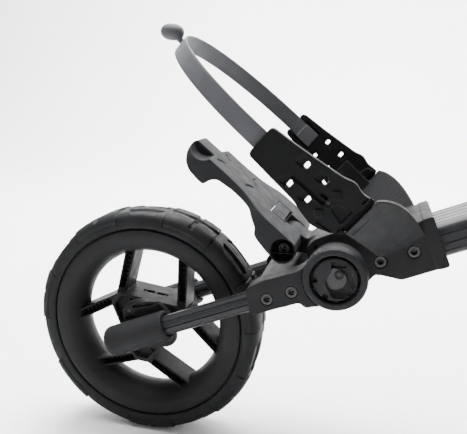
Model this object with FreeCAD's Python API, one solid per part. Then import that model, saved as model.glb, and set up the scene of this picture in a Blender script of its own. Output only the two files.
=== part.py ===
"""Front end of a folding golf push cart: front wheel, folding fork and lower bag bracket.

Everything is drawn in the line frame: X runs back along the straight line of the fork and the
lower frame tube, Y runs across the cart and Z is square to that line. The origin of the line
frame is the front axle. Each part is then tilted to the slope that it has on level ground, and
moved so that the cross bolt at the rear end of the frame tube is the origin.
"""
import FreeCAD, Part
import math
import os

V = FreeCAD.Vector

# Driving dimensions, millimetres and degrees
LINE_SLOPE = 21.5          # slope of the frame line, up to the rear
LINE_HEIGHT = 1.5          # the fork and the fold joint sit this far above the axle

TYRE_R = 145.0
TYRE_HALF = 30.0
BEAD_R = 122.5
THROAT_R = 89.5
RIM_WALL = 5.5
SPOKE_PAIRS = 3
PAIR_ANGLE = 21.2          # direction of the first pair of spokes, from the frame line's level
SPOKE_FAN = 40.0           # half of the angle between the two rim ends of a pair
HUB_FAN = 10.0             # half of the angle between the two hub ends of a pair
HUB_CORNER_R = 52.0
SPOKE_THICK = 11.0
SPOKE_HALF = 17.0
SPOKE_END = -6.3           # the spokes end inside the rim's wall
AXLE_R = 6.0
RUNNING = 0.05             # radial clearance of each running fit
BEARING_R = 14.0
BEARING_IN = 20.0
BEARING_OUT = 28.0

FORK_Y = 62.0              # the fork tubes' distance from the centre plane
FORK_TUBE_R = 11.6
FORK_TUBE_WALL = 1.6
FLUTES = 10
SOCKET_R = 18.0
PLATE_IN = 40.0
PLATE_OUT = 48.0
SOCKET_FRONT = -35.0
SOCKET_MOUTH = 46.0
SOCKET_DOME = 8.0
FORK_TUBE_FRONT = 9.0
FORK_TUBE_REAR = 212.0
LATCH_X = -0.6
LATCH_Z = 29.1
LATCH_PIN_R = 2.2
YOKE_SCREWS_X = (174.5, 203.0)

FOLD_X = 252.0
EYE_R = 33.0
RING_R = 34.5
YOKE_IN = 48.0
YOKE_OUT = 76.0
RING_OUT = 80.0
CAP_R = 26.0
FOLD_BOLT_R = 10.0

TUBE_HALF = 40.0
TUBE_TOP = 15.3
TUBE_BOTTOM = -20.7
TUBE_WALL = 2.4
TUBE_START = 290.0
TUBE_END = 450.0
BRACKET_SCREWS = ((299.0, -2.7), (335.5, -2.7))
COLLAR_HALF = 45.0
COLLAR_END = 365.0
MOUNT_X = 432.0
MOUNT_R = 4.2

PIVOT_X = 207.7
PIVOT_Z = 45.6
BARREL_R = 14.5
BARREL_HALF = 68.0
TONGUE_HALF = 20.0
FOOT_PIN_R = 5.0
FOOT_TILT = 62.0           # turns the foot's own frame, where -X runs out along the foot
FOOT_TOP = 14.3
FOOT_SKIN = 3.3
FOOT_PLAN = [(12, 68), (-38, 68), (-50, 62), (-62, 52), (-76, 45), (-104, 42), (-126, 44), (-146, 40),
             (-155, 30), (-157.5, 16)]
FOOT_SIDE = [(0, FOOT_TOP), (-155, FOOT_TOP), (-157.5, 8), (-154, 0), (-146, -8), (-137, -12), (-124, -13),
             (-114, -13.4), (-112, -5), (-106, 2), (-86, 5), (-57, 6.6), (-50, 2.8), (-38, -2), (-35, -8),
             (-28, -10.5), (-13, -13), (0, -BARREL_R)]
TAB_ROOT = -37.5
TAB_END = -19.5
TAB_HALF = 27.0

WING_TILT = 27.0           # turns the wing's own frame, whose X is the bag's axis
WING_FLARE = 7.2
WING_X = 293.8
WING_Z = 57.3
WING_Y = 107.8
WING_HEIGHT = 122.0
WING_THICK = 8.0

STRAP_WIDTH = 20.0
STRAP_THICK = 3.0
STRAP_RISE = 145.0
STRAP_HALF_SPAN = 117.5
BALL_RISE = 166.7
BALL_LONG = 14.2
BALL_SHORT = 9.4
BALL_LEAN = 55.0
SCREW_R = 4.6
SCREW_HEAD_R = 6.2
HEX_R = 3.9
HEX_DEPTH = 6.0
GAP = 0.3                  # clearance between pieces that must not touch


def box(x0, x1, y0, y1, z0, z1):
    return Part.makeBox(x1 - x0, y1 - y0, z1 - z0, V(x0, y0, z0))


def rod(x, z, radius, y0, y1):
    """A cylinder across the cart."""
    return Part.makeCylinder(radius, y1 - y0, V(x, y0, z), V(0, 1, 0))


def tube(x, z, outer, inner, y0, y1):
    return rod(x, z, outer, y0, y1).cut(rod(x, z, inner, y0 - 1, y1 + 1))


def prism(points, y0, y1):
    """A side outline in X and Z, extruded across the cart."""
    wire = Part.makePolygon([V(x, y0, z) for x, z in points] + [V(points[0][0], y0, points[0][1])])
    return Part.Face(wire).extrude(V(0, y1 - y0, 0))


def plan(points, z0, z1):
    """A plan outline in X and Y, extruded upwards."""
    wire = Part.makePolygon([V(x, y, z0) for x, y in points] + [V(points[0][0], points[0][1], z0)])
    return Part.Face(wire).extrude(V(0, 0, z1 - z0))


def ring_of(points):
    """A closed outline of radius and Y, turned about the wheel's axis."""
    wire = Part.makePolygon([V(r, y, 0) for r, y in points] + [V(points[0][0], points[0][1], 0)])
    return Part.Face(wire).revolve(V(0, 0, 0), V(0, 1, 0), 360)


def mirrored(shape):
    return shape.mirror(V(0, 0, 0), V(0, 1, 0))


def both(shape):
    return Part.Compound([shape, mirrored(shape)])


def joined(shapes):
    whole = shapes[0].multiFuse(shapes[1:])
    return whole.removeSplitter()


def hexagon(x, z, radius, y0, y1):
    corners = [math.radians(60 * i) for i in range(6)]
    return prism([(x + radius * math.cos(a), z + radius * math.sin(a)) for a in corners], y0, y1)


def slab(outer, inner):
    """A solid between two outlines with the same number of corners."""
    count = len(outer)
    faces = []
    for ring in (outer, inner):
        for i in range(1, count - 1):
            faces.append(Part.Face(Part.makePolygon([ring[0], ring[i], ring[i + 1], ring[0]])))
    for i in range(count):
        j = (i + 1) % count
        faces.append(Part.Face(Part.makePolygon([outer[i], outer[j], inner[j], outer[i]])))
        faces.append(Part.Face(Part.makePolygon([outer[i], inner[j], inner[i], outer[i]])))
    shell = Part.makeShell(faces)
    solid = Part.makeSolid(shell)
    if solid.Volume < 0:
        solid.reverse()
    return solid


def home(shape):
    """From the line frame to the cart's own frame."""
    moved = shape.copy()
    moved.translate(V(-MOUNT_X, 0, -(TUBE_TOP + TUBE_BOTTOM) / 2))
    moved.rotate(V(0, 0, 0), V(0, 1, 0), -LINE_SLOPE)
    return moved


# Wheel

def tyre():
    channel = RIM_WALL
    profile = [
        (TYRE_R, -18), (TYRE_R, 18), (141, 26), (135, 29), (BEAD_R, TYRE_HALF - 1),
        (BEAD_R, 29 - channel), (104, 20), (95, 9), (95, -9), (104, -20),
        (BEAD_R, channel - 29), (BEAD_R, 1 - TYRE_HALF), (135, -29), (141, -26),
    ]
    return ring_of(profile)


def rim_ring():
    channel = RIM_WALL
    profile = [
        (BEAD_R, -29), (114, -29), (104, -26), (96, -20), (91.5, -13), (THROAT_R, -6),
        (THROAT_R, 6), (91.5, 13), (96, 20), (104, 26), (114, 29), (BEAD_R, 29),
        (BEAD_R, 29 - channel), (104, 20), (95, 9), (95, -9), (104, -20), (BEAD_R, channel - 29),
    ]
    return ring_of(profile)


def hub_corners(radius):
    corners = []
    for pair in range(SPOKE_PAIRS):
        middle = PAIR_ANGLE - LINE_SLOPE + 120 * pair
        for side in (-1, 1):
            angle = math.radians(middle + side * HUB_FAN)
            corners.append((radius * math.cos(angle), radius * math.sin(angle)))
    return corners


def spoke(middle, side, thick, y0, y1, inner_r, outer_r):
    """One straight beam from a corner of the hub to the rim."""
    start = math.radians(middle + side * HUB_FAN)
    end = math.radians(middle + side * SPOKE_FAN)
    x0, z0 = HUB_CORNER_R * math.cos(start), HUB_CORNER_R * math.sin(start)
    x1, z1 = 98 * math.cos(end), 98 * math.sin(end)
    length = math.hypot(x1 - x0, z1 - z0)
    ux, uz = (x1 - x0) / length, (z1 - z0) / length
    x0, z0 = x0 + ux * inner_r, z0 + uz * inner_r
    x1, z1 = x1 + ux * outer_r, z1 + uz * outer_r
    px, pz = -uz * thick / 2, ux * thick / 2
    return prism([(x0 + px, z0 + pz), (x1 + px, z1 + pz), (x1 - px, z1 - pz), (x0 - px, z0 - pz)], y0, y1)


def wheel_rim():
    hub = prism(hub_corners(HUB_CORNER_R), -26, 26)
    pieces = [rim_ring(), hub, rod(0, 0, 19, -BEARING_OUT - 1, BEARING_OUT + 1)]
    recesses = []
    for pair in range(SPOKE_PAIRS):
        middle = PAIR_ANGLE - LINE_SLOPE + 120 * pair
        for side in (-1, 1):
            pieces.append(spoke(middle, side, SPOKE_THICK, -SPOKE_HALF, SPOKE_HALF, -8, SPOKE_END))
            for y0, y1 in ((-SPOKE_HALF - 1, -4), (4, SPOKE_HALF + 1)):
                recesses.append(spoke(middle, side, SPOKE_THICK - 4.4, y0, y1, 6, SPOKE_END - 3))
    whole = joined(pieces)
    pocket = prism(hub_corners(HUB_CORNER_R - 5), 5, 27).cut(rod(0, 0, 19, 0, 30))
    recesses += [pocket, mirrored(pocket)]
    recesses += [rod(0, 0, BEARING_R, BEARING_IN, 40), rod(0, 0, BEARING_R, -40, -BEARING_IN)]
    recesses.append(rod(0, 0, 10, -40, 40))
    return whole.cut(Part.Compound(recesses))


def hub_bearing():
    return tube(0, 0, BEARING_R, AXLE_R + RUNNING, BEARING_IN, BEARING_OUT)


def hub_sleeve():
    return tube(0, 0, 9, AXLE_R + RUNNING, -BEARING_IN, BEARING_IN)


# Fork

def axle():
    return rod(0, 0, AXLE_R, -66, 66)


def axle_spacer():
    return tube(0, 0, 10, AXLE_R, BEARING_OUT + GAP, PLATE_IN)


def fork_tube():
    start, end = FORK_TUBE_FRONT, FORK_TUBE_REAR
    outer = Part.makeCylinder(FORK_TUBE_R, end - start, V(start, FORK_Y, LINE_HEIGHT), V(1, 0, 0))
    bore = FORK_TUBE_R - FORK_TUBE_WALL - 1.2
    inner = Part.makeCylinder(bore, end - start + 2, V(start - 1, FORK_Y, LINE_HEIGHT), V(1, 0, 0))
    cuts = [inner]
    for i in range(FLUTES):
        angle = 2 * math.pi * (i + 0.5) / FLUTES
        y = FORK_Y + FORK_TUBE_R * math.cos(angle)
        z = LINE_HEIGHT + FORK_TUBE_R * math.sin(angle)
        cuts.append(Part.makeCylinder(1.3, end - start + 2, V(start - 1, y, z), V(1, 0, 0)))
    cuts += [rod(x, LINE_HEIGHT, SCREW_R, FORK_Y - 20, FORK_Y + 20) for x in YOKE_SCREWS_X]
    return outer.cut(Part.Compound(cuts))


def socket_barrel():
    """The round barrel at the front of a fork tube, with a domed nose."""
    nose = SOCKET_FRONT + SOCKET_DOME
    slant = math.sqrt(0.5)
    flat = SOCKET_R - SOCKET_DOME
    arc = Part.Arc(V(SOCKET_FRONT, flat, 0), V(nose - SOCKET_DOME * slant, flat + SOCKET_DOME * slant, 0),
                   V(nose, SOCKET_R, 0)).toShape()
    rest = Part.makePolygon([V(nose, SOCKET_R, 0), V(SOCKET_MOUTH, SOCKET_R, 0), V(SOCKET_MOUTH, 0, 0),
                             V(SOCKET_FRONT, 0, 0), V(SOCKET_FRONT, flat, 0)])
    face = Part.Face(Part.Wire([arc] + rest.Edges))
    halves = [face.revolve(V(0, 0, 0), V(1, 0, 0), turn) for turn in (180, -180)]
    barrel = halves[0].fuse(halves[1])
    barrel.translate(V(0, FORK_Y, LINE_HEIGHT))
    return barrel


def axle_socket(latched):
    """One fork end. The left one's plate rises above the barrel, to carry the axle latch."""
    low = [(45, -14), (40, -26), (31, -29), (0, -24), (-12, -12)]
    if latched:
        high = [(-13, 16), (-10, 31), (1, 38), (16, 36.5), (38, 28), (46, 10)]
    else:
        high = [(-13, 8), (-6, 16), (38, 16), (46, 10)]
    whole = socket_barrel().fuse(prism(high + low, PLATE_IN, PLATE_OUT))
    mouth_at = V(SOCKET_MOUTH + 0.01, FORK_Y, LINE_HEIGHT)
    mouth = Part.makeCone(FORK_TUBE_R + 2.6, FORK_TUBE_R, 6, mouth_at, V(-1, 0, 0))
    cuts = [
        Part.makeCylinder(FORK_TUBE_R, 60, V(FORK_TUBE_FRONT, FORK_Y, LINE_HEIGHT), V(1, 0, 0)),
        mouth,
        rod(0, 0, AXLE_R, PLATE_IN - 1, 66),
    ]
    if latched:
        cuts.append(rod(LATCH_X, LATCH_Z, LATCH_PIN_R, PLATE_IN - 1, PLATE_OUT + 1))
        cuts.append(box(-9.5, 3, PLATE_OUT - 3, PLATE_OUT + 1, 18.6, 21.4))
    return whole.cut(Part.Compound(cuts))


def axle_latch():
    """The curved loop beside the socket that keeps the axle seated."""
    outer = joined([
        rod(LATCH_X, LATCH_Z, 5.4, PLATE_OUT + GAP, 51.5),
        prism([(LATCH_X, LATCH_Z + 5.4), (14, 36.0), (30, 32.2), (38, 29.5), (40, 27.5), (38.5, 24.5),
               (30, 24.6), (14, 27.0), (LATCH_X + 3, LATCH_Z - 4.5)], PLATE_OUT + GAP, 51.5),
    ])
    window = prism([(7, 33.2), (14, 33.2), (30, 29.6), (36, 27.9), (30, 27.0), (14, 29.6), (7, 30.4)],
                   PLATE_OUT, 52)
    bore = rod(LATCH_X, LATCH_Z, LATCH_PIN_R + RUNNING, PLATE_OUT, 52)
    return outer.cut(Part.Compound([window, bore]))


def latch_pin():
    pin = rod(LATCH_X, LATCH_Z, LATCH_PIN_R, PLATE_IN + 1, 51.2)
    return pin.cut(hexagon(LATCH_X, LATCH_Z, 1.3, 49.7, 52))


def fork_yoke():
    arm = [(149.5, -11), (155, 17.5), (160, 20), (178, 22.5), (218, 21), (240, 32), (FOLD_X, 0),
           (232, -24), (222, -21), (211, -20), (207.5, -12.5)]
    arms = both(prism(arm, YOKE_IN, YOKE_OUT)).Solids
    eyes = both(rod(FOLD_X, LINE_HEIGHT, EYE_R, YOKE_IN, 68)).Solids
    bridge = prism([(163, -9), (163, 17), (176, 20.5), (207, 19.5), (209, -9)], -YOKE_IN - 1, YOKE_IN + 1)
    whole = joined(arms + eyes + [bridge])
    cuts = [
        prism([(169, -10), (169, 14), (202, 14), (202, -10)], -YOKE_IN + 6, -4),
        prism([(169, -10), (169, 14), (202, 14), (202, -10)], 4, YOKE_IN - 6),
        rod(FOLD_X, LINE_HEIGHT, FOLD_BOLT_R, -90, 90),
        both(rod(FOLD_X, LINE_HEIGHT, RING_R, 68, 90)),
    ]
    for side in (-1, 1):
        cuts.append(Part.makeCylinder(FORK_TUBE_R, 70, V(142, side * FORK_Y, LINE_HEIGHT), V(1, 0, 0)))
    for x in YOKE_SCREWS_X:
        cuts.append(both(rod(x, LINE_HEIGHT, 6.5, 74, 78)))
        cuts.append(both(rod(x, LINE_HEIGHT, SCREW_R, 50, 78)))
    return whole.cut(Part.Compound(cuts))


def cap_screw(x, z, tip, under, top):
    """A socket head cap screw whose head runs from under to top."""
    screw = joined([rod(x, z, SCREW_R, tip, under), rod(x, z, SCREW_HEAD_R, under, top)])
    return screw.cut(hexagon(x, z, HEX_R, top - HEX_DEPTH, top + 1))


def yoke_screws():
    near = [cap_screw(x, LINE_HEIGHT, 50, 74, 75.6) for x in YOKE_SCREWS_X]
    return Part.Compound(near + [mirrored(s) for s in near])


def joint_ring():
    body = rod(FOLD_X, LINE_HEIGHT, RING_R, 68, RING_OUT)
    rim_edges = [e for e in body.Edges if abs(e.BoundBox.YMin - RING_OUT) < 0.01 and len(e.Vertexes) == 1]
    body = body.makeFillet(2.5, rim_edges[:1])
    cuts = [rod(FOLD_X, LINE_HEIGHT, CAP_R + 0.4, 72, 90), rod(FOLD_X, LINE_HEIGHT, FOLD_BOLT_R, 60, 90)]
    return body.cut(Part.Compound(cuts))


def joint_cap():
    body = rod(FOLD_X, LINE_HEIGHT, CAP_R - 2.4, 72, 78.6)
    lugs = []
    for angle in (40, 160, 280):
        tooth = box(-7, 7, 72, 77, CAP_R - 5, CAP_R)
        tooth.rotate(V(0, 0, 0), V(0, 1, 0), angle)
        tooth.translate(V(FOLD_X, 0, LINE_HEIGHT))
        lugs.append(tooth.common(rod(FOLD_X, LINE_HEIGHT, CAP_R, 70, 80)))
    whole = joined([body] + lugs)
    square = box(-4.6, 4.6, 74, 80, -4.6, 4.6)
    cuts = [rod(FOLD_X, LINE_HEIGHT, 12, 71, 74.5)]
    for angle in (0, 45):
        star = square.copy()
        star.rotate(V(0, 0, 0), V(0, 1, 0), angle)
        star.translate(V(FOLD_X, 0, LINE_HEIGHT))
        cuts.append(star)
    pocket = box(FOLD_X - 8, FOLD_X + 8, 76, 80, LINE_HEIGHT + 9, LINE_HEIGHT + 18)
    return whole.cut(Part.Compound(cuts + [pocket]))


def fold_bolt():
    return joined([rod(FOLD_X, LINE_HEIGHT, FOLD_BOLT_R, -71.9, 71.9),
                   rod(FOLD_X, LINE_HEIGHT, 11.5, 72, 74.2).cut(hexagon(FOLD_X, LINE_HEIGHT, 4, 73, 75)),
                   rod(FOLD_X, LINE_HEIGHT, 11.5, -74.2, -72),
                   rod(FOLD_X, LINE_HEIGHT, 8, -73, 73)])


def fold_bush():
    return tube(FOLD_X, LINE_HEIGHT, 13.0, FOLD_BOLT_R + RUNNING, 20, YOKE_IN - 0.4)


# Lower bag bracket and frame tube

def web_corners(y, low):
    """The corners of the flared web: two at the wing's foot and two in the collar."""
    tilt = math.radians(WING_TILT)
    foot = [V(WING_X + a * math.cos(tilt), y, WING_Z + a * math.sin(tilt)) for a in (-13, 31)]
    return foot + low


def bag_web():
    outer = web_corners(WING_Y, [V(350, COLLAR_HALF - 2, 11), V(300, COLLAR_HALF - 2, 2)])
    inner = web_corners(WING_Y - WING_THICK, [V(348, COLLAR_HALF - 6, 21), V(296, COLLAR_HALF - 6, 14)])
    return slab(outer, inner)


def wing_place(shape):
    """From the wing's own frame to the line frame, on the right side of the cart."""
    moved = shape.copy()
    moved.rotate(V(0, 0, 0), V(1, 0, 0), -WING_FLARE)
    moved.rotate(V(0, 0, 0), V(0, 1, 0), -WING_TILT)
    moved.translate(V(WING_X, WING_Y, WING_Z))
    return moved


def wing_tongue():
    """The bracket's tongue behind each wing, which takes the wing's screw."""
    tongue = box(-11, 13, -WING_THICK - 4, -WING_THICK, -10, 38)
    return wing_place(tongue.cut(rod(-1.8, 32.6, 2.0, -WING_THICK - 5, 0)))


def bracket_body():
    core = [(272, -24), (290, -14.5), (301, -21), (314, -29), (COLLAR_END, -28), (COLLAR_END, 27),
            (340, 27), (300, 34), (262, 44), (240, 43), (225, 37), (226, 22), (FOLD_X, LINE_HEIGHT)]
    tongue = prism([(PIVOT_X, 31.8), (222, 24), (240, 24), (240, 42), (226, 37), (PIVOT_X + 6, 58)],
                   -TONGUE_HALF, TONGUE_HALF)
    pieces = [
        prism(core, -COLLAR_HALF, COLLAR_HALF),
        rod(FOLD_X, LINE_HEIGHT, EYE_R - 0.5, -YOKE_IN + 0.4, YOKE_IN - 0.4),
        rod(PIVOT_X, PIVOT_Z, BARREL_R - 0.7, -TONGUE_HALF, TONGUE_HALF),
        tongue,
        bag_web(),
        mirrored(bag_web()),
        wing_tongue(),
        mirrored(wing_tongue()),
    ]
    whole = joined(pieces)
    slot = box(TUBE_START, COLLAR_END + 1, -TUBE_HALF, TUBE_HALF, TUBE_BOTTOM, TUBE_TOP)
    cuts = [
        slot,
        rod(FOLD_X, LINE_HEIGHT, 13.0, -60, -20),
        rod(FOLD_X, LINE_HEIGHT, 13.0, 20, 60),
        rod(FOLD_X, LINE_HEIGHT, FOLD_BOLT_R + 1, -21, 21),
        rod(PIVOT_X, PIVOT_Z, FOOT_PIN_R + RUNNING, -30, 30),
    ]
    for x, z in BRACKET_SCREWS:
        cuts.append(both(rod(x, z, 6.5, 42.4, 50)))
        cuts.append(both(rod(x, z, SCREW_R, 30, 50)))
    return whole.cut(Part.Compound(cuts))


def bracket_screws():
    near = [cap_screw(x, z, 34, 42.4, 44.8) for x, z in BRACKET_SCREWS]
    return Part.Compound(near + [mirrored(s) for s in near])


def main_tube():
    """The ribbed oval extrusion of the lower frame."""
    outer = box(TUBE_START, TUBE_END, -TUBE_HALF, TUBE_HALF, TUBE_BOTTOM, TUBE_TOP)
    long_edges = [e for e in outer.Edges if e.BoundBox.XLength > 100]
    outer = outer.makeFillet(5, long_edges)
    w = TUBE_WALL
    inner = box(TUBE_START - 1, TUBE_END + 1, w - TUBE_HALF, TUBE_HALF - w, TUBE_BOTTOM + w, TUBE_TOP - w)
    inner_edges = [e for e in inner.Edges if e.BoundBox.XLength > 100]
    inner = inner.makeFillet(3, inner_edges)
    cuts = [inner]
    for y in (-28, -14, 0, 14, 28):
        cuts.append(Part.makeCylinder(1.1, 200, V(TUBE_START - 1, y, TUBE_TOP), V(1, 0, 0)))
        cuts.append(Part.makeCylinder(1.1, 200, V(TUBE_START - 1, y, TUBE_BOTTOM), V(1, 0, 0)))
    for z in (-14, -9, 4, 9):
        cuts.append(both(Part.makeCylinder(1.1, 200, V(TUBE_START - 1, TUBE_HALF, z), V(1, 0, 0))))
    for x, z in BRACKET_SCREWS:
        cuts.append(rod(x, z, SCREW_R, -60, 60))
    cuts.append(rod(MOUNT_X, (TUBE_TOP + TUBE_BOTTOM) / 2, MOUNT_R, -60, 60))
    return outer.cut(Part.Compound(cuts))


def tube_plug():
    """The moulded insert in the rear end of the frame tube, with the cross bolt's bore."""
    w = TUBE_WALL + 0.1
    y = TUBE_HALF - w
    body = box(TUBE_END - 40, TUBE_END, -y, y, TUBE_BOTTOM + w, TUBE_TOP - w)
    long_edges = [e for e in body.Edges if abs(e.BoundBox.XLength - 40) < 0.1]
    body = body.makeFillet(3.1, long_edges)
    return body.cut(rod(MOUNT_X, (TUBE_TOP + TUBE_BOTTOM) / 2, MOUNT_R, -60, 60))


# Wings and strap

def wing():
    outline = [(-17.4, 122), (-20, 90), (-22, 60), (-26, 46), (-29, 29), (-20.5, 7), (-13, 0), (30, 0),
               (27, 15), (31, 27), (27, 38), (23.5, 64), (20.3, 90), (17.4, 122)]
    body = prism(outline, -WING_THICK, 0)
    cuts = [
        box(-10.6, 10.6, -WING_THICK - 1, -WING_THICK + 4.2, 86, 123),
        box(-13.5, 13.5, -WING_THICK - 1, -WING_THICK + 4.2, 86, 111),
        box(-12, 28, -4, 1, -1, 5),
        rod(-1.8, 32.6, 2.0, -WING_THICK - 1, 1),
    ]
    for a in (-12.3, 12.3):
        for h in (49, 72.5):
            cuts.append(box(a - 4.2, a + 4.2, -WING_THICK - 1, 1, h - 3, h + 3))
    return wing_place(body.cut(Part.Compound(cuts)))


def wing_screws():
    shank = rod(-1.8, 32.6, 2.0, -WING_THICK - 4, -1.4)
    screw = wing_place(shank.cut(hexagon(-1.8, 32.6, 1.2, -2.8, 0)))
    return both(screw)


def strap_line(t):
    """The strap's middle line from the right wing (t = 0) to the left (t = pi): Y and height."""
    power = 2 / 2.1
    c, s = math.cos(t), math.sin(t)
    y = STRAP_HALF_SPAN * math.copysign(abs(c) ** power, c)
    return y, STRAP_RISE * abs(s) ** power


def pull_ball():
    """The egg-shaped pull at the top of the strap, longer along its own leaning axis."""
    steps = 20
    angles = [math.pi * i / steps for i in range(steps + 1)]
    half = [V(BALL_LONG * math.cos(a), BALL_SHORT * math.sin(a), 0) for a in angles]
    ball = Part.Face(Part.makePolygon(half + half[:1])).revolve(V(0, 0, 0), V(1, 0, 0), 360)
    ball.rotate(V(0, 0, 0), V(0, 1, 0), BALL_LEAN)
    return ball


def strap():
    """One silicone band with a block at each end and a ball to pull it by."""
    steps = 48
    points = [strap_line(math.pi * i / steps) for i in range(steps + 1)]
    lead = 20.0
    slope = math.tan(math.radians(WING_FLARE))
    points = [(STRAP_HALF_SPAN - lead * slope, -lead)] + points + [(lead * slope - STRAP_HALF_SPAN, -lead)]
    outer, inner = [], []
    for i, (y, h) in enumerate(points):
        y0, h0 = points[max(i - 1, 0)]
        y1, h1 = points[min(i + 1, len(points) - 1)]
        length = math.hypot(y1 - y0, h1 - h0)
        ny, nh = (h1 - h0) / length, -(y1 - y0) / length
        outer.append((y + ny * STRAP_THICK / 2, h + nh * STRAP_THICK / 2))
        inner.append((y - ny * STRAP_THICK / 2, h - nh * STRAP_THICK / 2))
    loop = outer + inner[::-1]
    corners = [V(-STRAP_WIDTH / 2, y, h + WING_HEIGHT) for y, h in loop]
    band = Part.Face(Part.makePolygon(corners + corners[:1])).extrude(V(STRAP_WIDTH, 0, 0))
    neck = Part.makeCone(6, 3.4, 17, V(-3, 0, WING_HEIGHT + STRAP_RISE - 2), V(0, 0, 1))
    ball = pull_ball()
    ball.translate(V(-2.3, 0, WING_HEIGHT + BALL_RISE))
    flare = math.radians(WING_FLARE)
    top = WING_HEIGHT - 13.5
    block_y = WING_Y - WING_THICK / math.cos(flare) + top * math.tan(flare)
    block = box(-10.2, 10.2, -0.6, 3.4, -21, 0)
    block.rotate(V(0, 0, 0), V(1, 0, 0), -WING_FLARE)
    block.translate(V(0, block_y, top))
    whole = band.fuse(block).fuse(mirrored(block)).fuse(neck.fuse(ball))
    whole.rotate(V(0, 0, 0), V(0, 1, 0), -WING_TILT)
    whole.translate(V(WING_X, 0, WING_Z))
    return whole


# Bag foot

def foot_outline(inset):
    half = [(x, y - inset) for x, y in FOOT_PLAN]
    return half + [(x, -y) for x, y in reversed(half)]


def foot_place(shape):
    """From the foot's own frame, with the pivot as its origin, to the line frame."""
    moved = shape.copy()
    moved.rotate(V(0, 0, 0), V(0, 1, 0), FOOT_TILT)
    moved.translate(V(PIVOT_X, 0, PIVOT_Z))
    return moved


def bag_foot():
    body = plan(foot_outline(0), -20, 20).common(prism(FOOT_SIDE, -80, 80))
    barrel = rod(0, 0, BARREL_R, -BARREL_HALF, BARREL_HALF)
    body = joined([body.common(box(-200, 0, -80, 80, -20, 20)), barrel])
    under = plan(foot_outline(3), -30, FOOT_TOP - FOOT_SKIN).common(box(-110, -16, -80, 80, -30, 20))
    under = under.cut(both(box(-110, -14, 41, 44, -30, 20)))
    slit = GAP + 0.5
    frame = box(TAB_ROOT - GAP, TAB_END + slit, -TAB_HALF - slit, TAB_HALF + slit, 5, 20)
    cuts = [
        under,
        frame,
        rod(0, 0, 17, -TONGUE_HALF - 0.4, TONGUE_HALF + 0.4),
        box(-16, 20, -TONGUE_HALF - 0.4, TONGUE_HALF + 0.4, -20, 20),
        rod(0, 0, FOOT_PIN_R, -51.2, 51.2),
        both(tube(0, 0, 13.2, 6.5, 46, 70)),
        both(rod(0, 0, 6.6, 52, 70)),
        both(rod(-143, FOOT_TOP + 8, 17, 17.5, 60)),
    ]
    whole = body.cut(Part.Compound(cuts))
    ribs = both(box(-13.4, 13.4, 46, 62, -1, 1).cut(rod(0, 0, 6.2, 40, 70)))
    return foot_place(joined([whole] + ribs.Solids))


def foot_tab():
    return foot_place(box(TAB_ROOT, TAB_END, -TAB_HALF, TAB_HALF, FOOT_TOP - FOOT_SKIN, FOOT_TOP))


def foot_pin():
    pin = rod(0, 0, FOOT_PIN_R, -51, 51)
    return foot_place(pin.cut(both(hexagon(0, 0, 2.6, 48, 53))))


def write(name, shape):
    placed = home(shape)
    placed.exportStep("parts/" + name + ".step")
    print(name, len(placed.Solids), round(placed.Volume / 1000, 2), placed.isValid())


def main():
    os.makedirs("parts", exist_ok=True)
    single = {
        "tyre": tyre(), "wheel_rim": wheel_rim(), "hub_sleeve": hub_sleeve(), "axle": axle(),
        "fork_yoke": fork_yoke(), "yoke_screws": yoke_screws(), "fold_bolt": fold_bolt(),
        "bracket_body": bracket_body(), "bracket_screws": bracket_screws(), "main_tube": main_tube(),
        "tube_plug": tube_plug(), "wing_screws": wing_screws(), "strap": strap(),
        "bag_foot": bag_foot(), "foot_tab": foot_tab(), "foot_pin": foot_pin(),
        "axle_socket_right": axle_socket(False), "axle_socket_left": mirrored(axle_socket(True)),
        "axle_latch": mirrored(axle_latch()), "latch_pin": mirrored(latch_pin()),
    }
    paired = {
        "hub_bearing": hub_bearing(), "axle_spacer": axle_spacer(), "fork_tube": fork_tube(),
        "joint_ring": joint_ring(), "joint_cap": joint_cap(), "fold_bush": fold_bush(), "wing": wing(),
    }
    for name, shape in single.items():
        write(name, shape)
    for name, shape in paired.items():
        write(name + "_right", shape)
        write(name + "_left", mirrored(shape))


main()
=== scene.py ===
"""Looks of the front end of a folding golf push cart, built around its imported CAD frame.

Shapes are drawn in millimetres in the line frame: X runs back along the line of the fork and the
lower frame tube, Y across the cart, Z square to the line, and the origin is the front axle.
LINE takes them to the row frame in metres.
"""

import math

import bmesh
import bpy
import numpy as np
from mathutils import Matrix, Vector


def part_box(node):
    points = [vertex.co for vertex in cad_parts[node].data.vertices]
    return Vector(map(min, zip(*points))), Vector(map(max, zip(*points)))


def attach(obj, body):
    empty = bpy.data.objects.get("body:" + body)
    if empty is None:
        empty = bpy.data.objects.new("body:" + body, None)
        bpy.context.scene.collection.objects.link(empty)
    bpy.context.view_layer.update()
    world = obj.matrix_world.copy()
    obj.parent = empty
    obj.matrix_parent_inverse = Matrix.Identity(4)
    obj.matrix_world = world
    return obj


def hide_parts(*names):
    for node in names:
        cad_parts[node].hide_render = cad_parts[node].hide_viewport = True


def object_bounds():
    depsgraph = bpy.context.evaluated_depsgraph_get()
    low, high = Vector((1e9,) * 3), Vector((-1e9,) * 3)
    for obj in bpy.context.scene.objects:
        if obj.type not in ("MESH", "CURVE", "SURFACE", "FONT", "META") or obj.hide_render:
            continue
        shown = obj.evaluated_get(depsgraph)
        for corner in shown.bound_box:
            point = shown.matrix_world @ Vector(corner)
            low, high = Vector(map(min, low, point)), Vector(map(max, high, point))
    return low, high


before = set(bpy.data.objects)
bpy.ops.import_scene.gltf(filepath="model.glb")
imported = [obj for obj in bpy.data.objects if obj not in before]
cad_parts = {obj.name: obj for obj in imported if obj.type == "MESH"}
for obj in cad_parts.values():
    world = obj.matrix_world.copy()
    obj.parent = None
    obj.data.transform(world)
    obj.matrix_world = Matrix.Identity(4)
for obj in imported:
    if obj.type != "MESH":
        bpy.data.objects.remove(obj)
CAD_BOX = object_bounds()

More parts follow.
